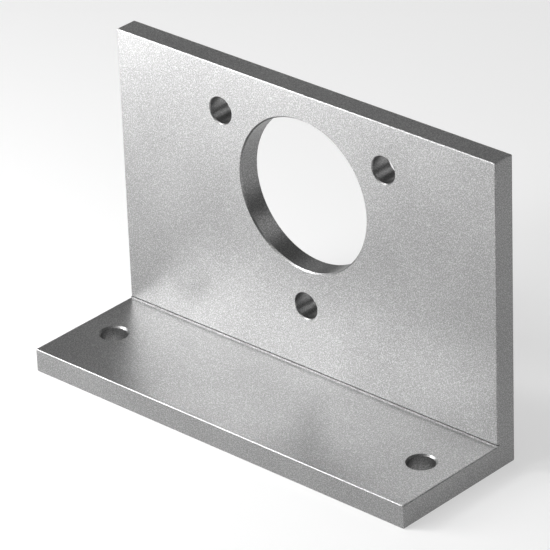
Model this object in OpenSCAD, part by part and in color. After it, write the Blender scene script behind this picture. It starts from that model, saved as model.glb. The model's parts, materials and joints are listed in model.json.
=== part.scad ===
// Angle flange: a one-piece aluminium bracket whose upright plate carries a
// round device by its pilot boss and screws, and whose base plate bolts down.
//
// X runs across the width, +Y goes back to the upright and +Z goes up.
// The origin is the centre of the footprint, on the underside of the base.

/* [Plates] */
// Width across both plates
width = 95.25; // [80:0.25:150]
// Depth from the base's front edge to the upright's back face
depth = 32.3; // [26:0.1:60]
// Material between the upper screw holes and the upright's top edge
top_margin = 6.95; // [3:0.05:30]
// Thickness of the upright plate
upright_thickness = 5; // [3:0.1:10]
// Thickness of the base plate
base_thickness = 5; // [3:0.1:10]

/* [Pilot bore] */
// Diameter of the bore that centres the device
bore_diameter = 31.85; // [24:0.05:34]
// Height of the bore's centre above the underside
bore_height = 42.9; // [36:0.1:44]
// Chamfer on both rims of the bore
bore_chamfer = 0.3; // [0.1:0.05:1]

/* [Device screws] */
// Diameter of the circle that the three device screws lie on
screw_circle = 47.6; // [44:0.1:50]
// Diameter of each clearance hole
screw_hole_diameter = 5.5; // [4:0.1:6]
// Chamfer on both rims of each clearance hole
screw_hole_chamfer = 0.15; // [0.1:0.05:0.6]

/* [Base screws] */
// Diameter of the two holes in the base
base_hole_diameter = 5.5; // [4:0.1:7]
// Distance from a base hole's centre to the nearest end of the bracket
base_hole_end_distance = 7.7; // [6:0.1:20]
// Distance from a base hole's centre to the front edge
base_hole_front_distance = 14.3; // [6:0.1:20]
// Chamfer on both rims of each base hole
base_hole_chamfer = 0.25; // [0.1:0.05:0.6]

/* [Edges] */
// Break on every outside edge
edge_break = 0.25; // [0.1:0.05:1]
// Width of the relief groove along the foot of the upright
relief_width = 0.3; // [0.2:0.05:1]
// Depth of the relief groove into the upright
relief_depth = 0.6; // [0.2:0.05:1]
// Height of the relief groove above the base plate
relief_rise = 0.2; // [0.1:0.05:1]

/* [Hidden] */
$fn = 128;

// Places of the plates' faces
front_y = -depth / 2;
back_y = depth / 2;
mounting_face_y = back_y - upright_thickness;

// The device's screws: equal steps round the bore, the first straight below it
device_screws = 3;
first_screw_angle = -90;
upper_screw_rise = screw_circle / 2 * sin(first_screw_angle + 360 / device_screws);

// Height of the upright plate above the underside
height = bore_height + upper_screw_rise + screw_hole_diameter / 2 + top_margin;

// The base's screws stand the same distance in from each end
base_screw_x = width / 2 - base_hole_end_distance;
base_screw_y = front_y + base_hole_front_distance;

// How far a cutting tool runs past the face that it cuts
overrun = 1;

// Rectangle from the origin with its four corners cut at 45 degrees
module broken_rectangle(size) {
    polygon([
        [edge_break, 0], [size.x - edge_break, 0],
        [size.x, edge_break], [size.x, size.y - edge_break],
        [size.x - edge_break, size.y], [edge_break, size.y],
        [0, size.y - edge_break], [0, edge_break]
    ]);
}

// Box from the origin with all twelve edges broken, as seen from three sides
module broken_plate(size) {
    intersection() {
        linear_extrude(size.z)
            broken_rectangle([size.x, size.y]);
        translate([0, size.y, 0])
            rotate([90, 0, 0])
                linear_extrude(size.y)
                    broken_rectangle([size.x, size.z]);
        rotate([90, 0, 90])
            linear_extrude(size.x)
                broken_rectangle([size.y, size.z]);
    }
}

// Cutter for the relief groove along X, sunk into the upright just above the base plate
module corner_relief() {
    translate([-width / 2 - overrun, mounting_face_y - overrun, base_thickness + relief_rise])
        cube([width + 2 * overrun, relief_depth + overrun, relief_width]);
}

// Cutter for a hole along Z from 0 down through a plate, with both rims chamfered
module hole_cutter(diameter, chamfer, thickness) {
    radius = diameter / 2;
    rotate_extrude()
        polygon([
            [0, overrun],
            [radius + chamfer + overrun, overrun],
            [radius, -chamfer],
            [radius, chamfer - thickness],
            [radius + chamfer + overrun, -thickness - overrun],
            [0, -thickness - overrun]
        ]);
}

// Cutter for a hole through the upright, entered from the mounting face
module upright_hole(diameter, chamfer) {
    translate([0, mounting_face_y, 0])
        rotate([90, 0, 0])
            hole_cutter(diameter, chamfer, upright_thickness);
}

// The pilot bore and the screw holes round it
module device_interface() {
    translate([0, 0, bore_height]) {
        upright_hole(bore_diameter, bore_chamfer);
        for (screw = [0 : device_screws - 1]) {
            angle = first_screw_angle + screw * 360 / device_screws;
            translate([screw_circle / 2 * cos(angle), 0, screw_circle / 2 * sin(angle)])
                upright_hole(screw_hole_diameter, screw_hole_chamfer);
        }
    }
}

// The two holes that bolt the base down
module base_holes() {
    for (side = [-1, 1])
        translate([side * base_screw_x, base_screw_y, base_thickness])
            hole_cutter(base_hole_diameter, base_hole_chamfer, base_thickness);
}

// The whole bracket, milled from one piece
module angle_flange() {
    color("silver")
        difference() {
            union() {
                translate([-width / 2, front_y, 0])
                    broken_plate([width, depth, base_thickness]);
                translate([-width / 2, mounting_face_y, 0])
                    broken_plate([width, upright_thickness, height]);
            }
            corner_relief();
            device_interface();
            base_holes();
        }
}

angle_flange();
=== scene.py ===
"""Angle flange of bead-blasted, clear-anodised aluminium, on a pale studio floor."""
import json
import math

import bmesh
import bpy
from mathutils import Matrix, Vector


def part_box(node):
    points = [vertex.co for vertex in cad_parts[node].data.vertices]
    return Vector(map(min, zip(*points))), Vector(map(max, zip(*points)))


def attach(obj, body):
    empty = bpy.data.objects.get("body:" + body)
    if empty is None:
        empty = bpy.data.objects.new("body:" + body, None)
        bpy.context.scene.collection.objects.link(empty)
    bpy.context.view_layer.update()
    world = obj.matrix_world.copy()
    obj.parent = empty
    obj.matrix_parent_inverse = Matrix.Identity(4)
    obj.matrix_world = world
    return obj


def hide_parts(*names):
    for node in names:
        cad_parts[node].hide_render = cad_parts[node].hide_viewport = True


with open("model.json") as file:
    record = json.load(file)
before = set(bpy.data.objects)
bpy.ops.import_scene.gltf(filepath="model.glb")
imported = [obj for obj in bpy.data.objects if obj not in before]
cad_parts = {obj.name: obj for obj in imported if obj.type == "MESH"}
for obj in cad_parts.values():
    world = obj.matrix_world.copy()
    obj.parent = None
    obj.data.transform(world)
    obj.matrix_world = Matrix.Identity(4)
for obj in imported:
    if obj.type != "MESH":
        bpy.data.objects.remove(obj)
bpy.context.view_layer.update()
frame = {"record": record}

MM = 0.001

# Sizes from the frame
NODE = "angle_flange"
mounts = {mount["name"]: mount for mount in frame["record"]["mounts"]}
low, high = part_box(NODE)
mounting_face_y = mounts["front_mounting_face"]["pos_m"][1]
base_top_z = mounts["base_screws"]["pos_m"][2]
upright_thickness = high.y - mounting_face_y
base_thickness = base_top_z - low.z

# Sizes of the edges, the hole rims and the relief groove
EDGE_BREAK = 0.25 * MM
EDGE_STEPS = 3
BORE_CHAMFER = 0.3 * MM
DEVICE_HOLE_CHAMFER = 0.2 * MM
BASE_HOLE_CHAMFER = 0.35 * MM
GROOVE_WIDTH = 0.2 * MM
GROOVE_DEPTH = 0.6 * MM
GROOVE_RISE = 0.3 * MM
OVERRUN = 1.0 * MM

# Facets round the holes, fine enough to look round from close by
BORE_SIDES = 256
SCREW_HOLE_SIDES = 96
SHARP_ANGLE = math.radians(28)


def linear(code):
    """An sRGB hex colour as linear RGBA."""
    channels = [int(code[i:i + 2], 16) / 255 for i in (1, 3, 5)]
    return [c / 12.92 if c <= 0.04045 else ((c + 0.055) / 1.055) ** 2.4 for c in channels] + [1.0]


def add_node(tree, kind, links=None, values=None, **settings):
    """Adds a node with its settings, then the values and links of inputs named by label or by place."""
    node = tree.nodes.new(kind)
    for name, value in settings.items():
        setattr(node, name, value)

    def socket(key):
        return node.inputs[key] if isinstance(key, int) else next(
            s for s in node.inputs if s.enabled and s.name == key)

    for key, value in (values or {}).items():
        socket(key).default_value = value
    for key, output in (links or {}).items():
        tree.links.new(output, socket(key))
    return node


def object_from(name, bm):
    """A mesh object at the origin made from a bmesh."""
    mesh = bpy.data.meshes.new(name)
    bm.to_mesh(mesh)
    bm.free()
    piece = bpy.data.objects.new(name, mesh)
    bpy.context.scene.collection.objects.link(piece)
    return piece


# Bead-blasted, clear-anodised aluminium: the beads' overlapping dents spread every reflection into a satin
# glow, and the clear oxide keeps its colour neutral.
# The fine grain in the colour is painted light: each dent is painted darker in its middle as painted shade
# and lighter on its crest as a painted glint, mixed with the real soft clouds of uneven blasting.
# Real dents are about 0.1 mm wide, too fine to show, so they are drawn about twice as wide.
DENT_WIDTH = 0.22 * MM
DENT_DEPTH = 0.001 * MM
# Distances from a dent's middle, in dent widths, between which its grey and roughness change
DENT_FLOOR, DENT_CREST = 0.2, 0.85
# The blast passes overlap unevenly, in soft clouds as wide as the nozzle's spot
BLAST_SPOT = 16 * MM
CLOUD_LOW, CLOUD_HIGH = 0.3, 0.7
CLOUD_DETAIL, CLOUD_ROUGHNESS = 2.0, 0.5
CLOUD_SHARE = 0.12
# Grit leaves a few darker pits, drawn at about twice their real 0.1 mm
PIT_SPACING = 1.5 * MM
PIT_WIDTH = 0.22 * MM
PIT_SOFTNESS = 0.3
PITTED_SHARE = 0.35
# The grey in the dents is painted shade and the grey on the crests a painted glint
PAINTED_SHADE_IN_DENTS, PAINTED_GLINT_ON_CRESTS, GREY_IN_PITS = "#757575", "#adadad", "#6c6c6c"
ROUGH_IN_DENTS, ROUGH_ON_CRESTS = 0.42, 0.36


def blasted_anodised_aluminium():
    """The bracket's metal, patterned in object coordinates."""
    material = bpy.data.materials.new("bead_blasted_clear_anodised_aluminium")
    material.use_nodes = True
    tree = material.node_tree
    shader = tree.nodes["Principled BSDF"]
    shader.inputs["Metallic"].default_value = 1.0
    place = add_node(tree, "ShaderNodeTexCoord").outputs["Object"]
    dents = add_node(tree, "ShaderNodeTexVoronoi", {"Vector": place}, {"Scale": 1 / DENT_WIDTH})
    speckle = add_node(
        tree, "ShaderNodeMapRange", {"Value": dents.outputs["Distance"]},
        {"From Min": DENT_FLOOR, "From Max": DENT_CREST})
    clouds = add_node(
        tree, "ShaderNodeTexNoise", {"Vector": place},
        {"Scale": 1 / BLAST_SPOT, "Detail": CLOUD_DETAIL, "Roughness": CLOUD_ROUGHNESS})
    cloudy = add_node(
        tree, "ShaderNodeMapRange", {"Value": clouds.outputs[0]},
        {"From Min": CLOUD_LOW, "From Max": CLOUD_HIGH})
    crest = add_node(
        tree, "ShaderNodeMix", {"A": speckle.outputs["Result"], "B": cloudy.outputs["Result"]},
        {"Factor": CLOUD_SHARE}, data_type="FLOAT")
    # Painted shade in the dent middles and a painted glint on the crests, with the real blast clouds mixed in
    grey_with_painted_shade_and_glint = add_node(
        tree, "ShaderNodeMix", {"Factor": crest.outputs["Result"]},
        {"A": linear(PAINTED_SHADE_IN_DENTS), "B": linear(PAINTED_GLINT_ON_CRESTS)}, data_type="RGBA")

    pits = add_node(tree, "ShaderNodeTexVoronoi", {"Vector": place}, {"Scale": 1 / PIT_SPACING})
    pit_edge = PIT_WIDTH / 2 / PIT_SPACING
    near_pit = add_node(
        tree, "ShaderNodeMapRange", {"Value": pits.outputs["Distance"]},
        {"From Min": pit_edge * (1 + PIT_SOFTNESS), "From Max": pit_edge * (1 - PIT_SOFTNESS)})
    chance = add_node(tree, "ShaderNodeSeparateColor", {"Color": pits.outputs["Color"]})
    pitted = add_node(
        tree, "ShaderNodeMath", {0: chance.outputs["Red"]}, {1: PITTED_SHARE}, operation="LESS_THAN")
    in_pit = add_node(
        tree, "ShaderNodeMath", {0: near_pit.outputs["Result"], 1: pitted.outputs["Value"]},
        operation="MULTIPLY")
    colour = add_node(
        tree, "ShaderNodeMix", {"Factor": in_pit.outputs["Value"], "A": grey_with_painted_shade_and_glint.outputs["Result"]},
        {"B": linear(GREY_IN_PITS)}, data_type="RGBA")
    tree.links.new(colour.outputs["Result"], shader.inputs["Base Color"])

    rough = add_node(
        tree, "ShaderNodeMapRange", {"Value": crest.outputs["Result"]},
        {"To Min": ROUGH_IN_DENTS, "To Max": ROUGH_ON_CRESTS})
    tree.links.new(rough.outputs["Result"], shader.inputs["Roughness"])

    relief = add_node(
        tree, "ShaderNodeBump", {"Height": dents.outputs["Distance"]},
        {"Strength": 1.0, "Distance": DENT_DEPTH})
    tree.links.new(relief.outputs["Normal"], shader.inputs["Normal"])
    return material


aluminium = blasted_anodised_aluminium()


# The L-shaped body
def profile():
    """The bracket's outline in the YZ plane, with the relief groove across the foot of the upright."""
    groove_low, groove_high = base_top_z + GROOVE_RISE, base_top_z + GROOVE_RISE + GROOVE_WIDTH
    return [
        (low.y, low.z), (high.y, low.z), (high.y, high.z), (mounting_face_y, high.z),
        (mounting_face_y, groove_high), (mounting_face_y + GROOVE_DEPTH, groove_high),
        (mounting_face_y + GROOVE_DEPTH, groove_low), (mounting_face_y, groove_low),
        (mounting_face_y, base_top_z), (low.y, base_top_z),
    ]


def l_body():
    """The milled body before drilling, with its outside edges marked for breaking."""
    bm = bmesh.new()
    outline = profile()
    face = bm.faces.new([bm.verts.new((low.x, y, z)) for y, z in outline])
    extruded = bmesh.ops.extrude_face_region(bm, geom=[face])
    moved = [v for v in extruded["geom"] if isinstance(v, bmesh.types.BMVert)]
    bmesh.ops.translate(bm, verts=moved, vec=(high.x - low.x, 0, 0))
    bmesh.ops.recalc_face_normals(bm, faces=bm.faces)
    weight = bm.edges.layers.float.new("bevel_weight_edge")
    reach = GROOVE_RISE + GROOVE_WIDTH + GROOVE_DEPTH
    for edge in bm.edges:
        near_groove = [
            abs(v.co.y - mounting_face_y) < reach and abs(v.co.z - base_top_z) < reach for v in edge.verts]
        edge[weight] = 0.0 if all(near_groove) else 1.0
    return object_from("angle_flange_finish", bm)


def lathe(name, outline, sides):
    """A closed turned solid about Z from (radius, z) points, listed from the top down."""
    bm = bmesh.new()
    rings = []
    for radius, z in outline:
        rings.append([
            bm.verts.new((radius * math.cos(turn), radius * math.sin(turn), z))
            for turn in (2 * math.pi * i / sides for i in range(sides))])
    for upper, lower in zip(rings, rings[1:]):
        for i in range(sides):
            j = (i + 1) % sides
            bm.faces.new((upper[i], lower[i], lower[j], upper[j]))
    bm.faces.new(rings[0])
    bm.faces.new(reversed(rings[-1]))
    bmesh.ops.recalc_face_normals(bm, faces=bm.faces)
    return object_from(name, bm)


def hole_cutter(name, radius, chamfer, thickness, sides):
    """A cutter along Z for a hole from 0 down through a plate, with both rims chamfered."""
    return lathe(name, [
        (radius + chamfer + OVERRUN, OVERRUN),
        (radius, -chamfer),
        (radius, chamfer - thickness),
        (radius + chamfer + OVERRUN, -thickness - OVERRUN),
    ], sides)


def drilling_tree():
    """Geometry nodes that cut equal holes, evenly spaced on a circle, out of the body."""
    tree = bpy.data.node_groups.new("drilled_circle", "GeometryNodeTree")
    face = tree.interface
    face.new_socket("Body", in_out="INPUT", socket_type="NodeSocketGeometry")
    for name, kind in (
            ("Cutter", "Object"), ("Count", "Int"), ("Circle Diameter", "Float"), ("First Angle", "Float"),
            ("Centre", "Vector"), ("Tilt", "Vector"), ("Material", "Material")):
        face.new_socket(name, in_out="INPUT", socket_type=f"NodeSocket{kind}")
    face.new_socket("Body", in_out="OUTPUT", socket_type="NodeSocketGeometry")
    given = tree.nodes.new("NodeGroupInput").outputs
    cutter = add_node(tree, "GeometryNodeObjectInfo", {"Object": given["Cutter"]})
    radius = add_node(tree, "ShaderNodeMath", {0: given["Circle Diameter"]}, {1: 2.0}, operation="DIVIDE")
    step = add_node(tree, "ShaderNodeMath", {1: given["Count"]}, {0: 2 * math.pi}, operation="DIVIDE")
    index = add_node(tree, "GeometryNodeInputIndex")
    turn = add_node(tree, "ShaderNodeMath", {
        0: index.outputs["Index"], 1: step.outputs["Value"], 2: given["First Angle"]},
        operation="MULTIPLY_ADD")
    arm = add_node(tree, "ShaderNodeCombineXYZ", {"X": radius.outputs["Value"]})
    place = add_node(tree, "ShaderNodeVectorRotate", {
        "Vector": arm.outputs["Vector"], "Angle": turn.outputs["Value"]}, rotation_type="Z_AXIS")
    points = add_node(tree, "GeometryNodePoints", {
        "Count": given["Count"], "Position": place.outputs["Vector"]})
    cutters = add_node(tree, "GeometryNodeInstanceOnPoints", {
        "Points": points.outputs[0], "Instance": cutter.outputs["Geometry"]})
    whole = add_node(tree, "GeometryNodeRealizeInstances", {"Geometry": cutters.outputs["Instances"]})
    tilt = add_node(tree, "FunctionNodeEulerToRotation", {"Euler": given["Tilt"]})
    set_up = add_node(tree, "GeometryNodeTransform", {
        "Geometry": whole.outputs["Geometry"], "Translation": given["Centre"],
        "Rotation": tilt.outputs["Rotation"]})
    cut = add_node(tree, "GeometryNodeMeshBoolean", {
        "Mesh 1": given["Body"], "Mesh 2": set_up.outputs["Geometry"]},
        operation="DIFFERENCE", solver="EXACT")
    drilled = add_node(tree, "GeometryNodeRealizeInstances", {"Geometry": cut.outputs["Mesh"]})
    skinned = add_node(tree, "GeometryNodeSetMaterial", {
        "Geometry": drilled.outputs["Geometry"], "Material": given["Material"]})
    add_node(tree, "NodeGroupOutput", {"Body": skinned.outputs["Geometry"]})
    return tree


def drill(body, tree, sizes):
    """Adds the drilling tree to the body as a modifier, with its named inputs set."""
    modifier = body.modifiers.new("drill", "NODES")
    modifier.node_group = tree
    sockets = {s.name: s.identifier for s in tree.interface.items_tree if s.in_out == "INPUT"}
    for name, value in sizes.items():
        modifier[sockets[name]] = value


def made_plain(piece):
    """The piece's evaluated mesh put in place of its live modifiers."""
    bpy.context.view_layer.update()
    graph = bpy.context.evaluated_depsgraph_get()
    mesh = bpy.data.meshes.new_from_object(
        piece.evaluated_get(graph), preserve_all_data_layers=True, depsgraph=graph)
    mesh.name = piece.name
    piece.modifiers.clear()
    piece.data = mesh
    return piece


finish = l_body()
edge = finish.modifiers.new("broken_edges", "BEVEL")
edge.limit_method = "WEIGHT"
edge.width = EDGE_BREAK
edge.segments = EDGE_STEPS
edge.use_clamp_overlap = False
made_plain(finish)

tree = drilling_tree()
UPRIGHT_TILT = (math.pi / 2, 0.0, 0.0)
FIRST_DEVICE_SCREW = math.radians(-90)
bore, device, base = (mounts[name] for name in ("pilot_bore", "device_screws", "base_screws"))
cutters = {
    "bore": hole_cutter(
        "bore_cutter", bore["dims"]["r_mm"] * MM, BORE_CHAMFER, upright_thickness, BORE_SIDES),
    "device": hole_cutter(
        "device_screw_cutter", device["dims"]["hole_r_mm"] * MM, DEVICE_HOLE_CHAMFER, upright_thickness,
        SCREW_HOLE_SIDES),
    "base": hole_cutter(
        "base_screw_cutter", base["dims"]["hole_r_mm"] * MM, BASE_HOLE_CHAMFER, base_thickness,
        SCREW_HOLE_SIDES),
}
device_centre = (device["pos_m"][0], mounting_face_y, device["pos_m"][2])
drill(finish, tree, {
    "Cutter": cutters["bore"], "Count": 1, "Circle Diameter": 0.0, "First Angle": 0.0,
    "Centre": device_centre, "Tilt": UPRIGHT_TILT, "Material": aluminium})
drill(finish, tree, {
    "Cutter": cutters["device"], "Count": device["dims"]["count"],
    "Circle Diameter": device["dims"]["pcd_mm"] * MM, "First Angle": FIRST_DEVICE_SCREW,
    "Centre": device_centre, "Tilt": UPRIGHT_TILT, "Material": aluminium})
drill(finish, tree, {
    "Cutter": cutters["base"], "Count": base["dims"]["count"],
    "Circle Diameter": base["dims"]["spacing_x_mm"] * MM, "First Angle": 0.0,
    "Centre": base["pos_m"], "Tilt": (0.0, 0.0, 0.0), "Material": aluminium})
made_plain(finish)
for cutter in cutters.values():
    bpy.data.objects.remove(cutter)

for polygon in finish.data.polygons:
    polygon.use_smooth = True
finish.data.set_sharp_from_angle(angle=SHARP_ANGLE)
shading = finish.modifiers.new("flat_faces_stay_flat", "WEIGHTED_NORMAL")
shading.keep_sharp = True
made_plain(finish)
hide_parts(NODE)
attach(finish, "root")

# Floor of matt white paper
FLOOR_SIZE = 8.0
PAPER_GREY = "#f8f8f8"
PAPER_ROUGHNESS = 0.9
# Share of plain white that the camera and the metal see in the paper; the rest is the paper as lit
WHITE_SHARE = 0.52


def matt_white_paper():
    """Uncoated paper without a pattern, as it is only the studio's floor."""
    material = bpy.data.materials.new("matt_white_paper")
    material.use_nodes = True
    tree = material.node_tree
    lit = tree.nodes["Principled BSDF"]
    lit.inputs["Base Color"].default_value = linear(PAPER_GREY)
    lit.inputs["Roughness"].default_value = PAPER_ROUGHNESS
    white = add_node(tree, "ShaderNodeEmission", values={"Strength": 1.0})
    ray = add_node(tree, "ShaderNodeLightPath").outputs
    looks = add_node(
        tree, "ShaderNodeMath", {0: ray["Is Camera Ray"], 1: ray["Is Glossy Ray"]}, operation="MAXIMUM")
    looks = add_node(
        tree, "ShaderNodeMath", {0: looks.outputs["Value"], 1: ray["Is Transmission Ray"]},
        operation="MAXIMUM")
    share = add_node(
        tree, "ShaderNodeMath", {0: looks.outputs["Value"]}, {1: WHITE_SHARE}, operation="MULTIPLY")
    seen = add_node(tree, "ShaderNodeMixShader", {
        0: share.outputs["Value"], 1: lit.outputs["BSDF"], 2: white.outputs["Emission"]})
    tree.links.new(seen.outputs["Shader"], tree.nodes["Material Output"].inputs["Surface"])
    return material


bpy.ops.mesh.primitive_plane_add(size=FLOOR_SIZE)
floor = bpy.context.object
floor.name = "floor"
floor.data.materials.append(matt_white_paper())


# Light
def softbox(name, place, aim, size, power):
    """A square area lamp that looks from its place towards a point; the camera doesn't see it."""
    lamp = bpy.data.lights.new(name, "AREA")
    lamp.shape = "SQUARE"
    lamp.size = size
    lamp.energy = power
    lamp_object = bpy.data.objects.new(name, lamp)
    lamp_object.location = place
    lamp_object.rotation_euler = (Vector(place) - Vector(aim)).to_track_quat("Z", "Y").to_euler()
    lamp_object.visible_camera = False
    bpy.context.scene.collection.objects.link(lamp_object)


# The key lamp stands low and near, so that the light on the upright falls away from its left end. The side
# and edge lamps stand higher and light the base, the floor, the broken edges and the lower rims of the holes.
# The back lamp lights the faces that look up, the rim lamp the lower wall of the bore, and the top lamp the
# floor and the plates as seen from above. Places and sizes are in millimetres, powers in watts.
AIM = Vector((0, 0, 30)) * MM
for name, place, size, power in (
        ("key_softbox", (-150, -150, 72), 110, 0.64), ("side_softbox", (-180, -420, 330), 150, 0.72),
        ("edge_softbox", (-294, -234, 347), 120, 0.8), ("back_softbox", (-900, 975, 705), 600, 0.55),
        ("rim_softbox", (282, 390, 400), 250, 0.21),
        ("top_softbox", (-120, -120, 800), 600, 1.4)):
    softbox(name, Vector(place) * MM, AIM, size * MM, power)

WORLD_STRENGTH = 0.1
world = bpy.data.worlds.new("studio")
world.use_nodes = True
bpy.context.scene.world = world
background = world.node_tree.nodes["Background"]
background.inputs["Color"].default_value = linear("#ffffff")
background.inputs["Strength"].default_value = WORLD_STRENGTH

# Camera
AZIMUTH = math.radians(43.05)
ELEVATION = math.radians(27.97)
ROLL = math.radians(-2.13)
TARGET = Vector((4.14, -1.71, 32.65)) * MM
DISTANCE = 794.6 * MM
LENS = 275.4
SENSOR_WIDTH = 36.0
NEAREST, FARTHEST = 0.01, 50.0
camera_data = bpy.data.cameras.new("camera")
camera = bpy.data.objects.new("camera", camera_data)
bpy.context.scene.collection.objects.link(camera)
bpy.context.scene.camera = camera
camera_data.lens = LENS
camera_data.sensor_width = SENSOR_WIDTH
camera_data.clip_start, camera_data.clip_end = NEAREST, FARTHEST
level = Vector((math.sin(AZIMUTH), -math.cos(AZIMUTH), 0.0))
back = level * math.cos(ELEVATION) + Vector((0.0, 0.0, math.sin(ELEVATION)))
turn = back.to_track_quat("Z", "Y").to_matrix() @ Matrix.Rotation(ROLL, 3, "Z")
camera.matrix_world = Matrix.Translation(TARGET + back * DISTANCE) @ turn.to_4x4()

bpy.context.scene.view_settings.view_transform = "Standard"
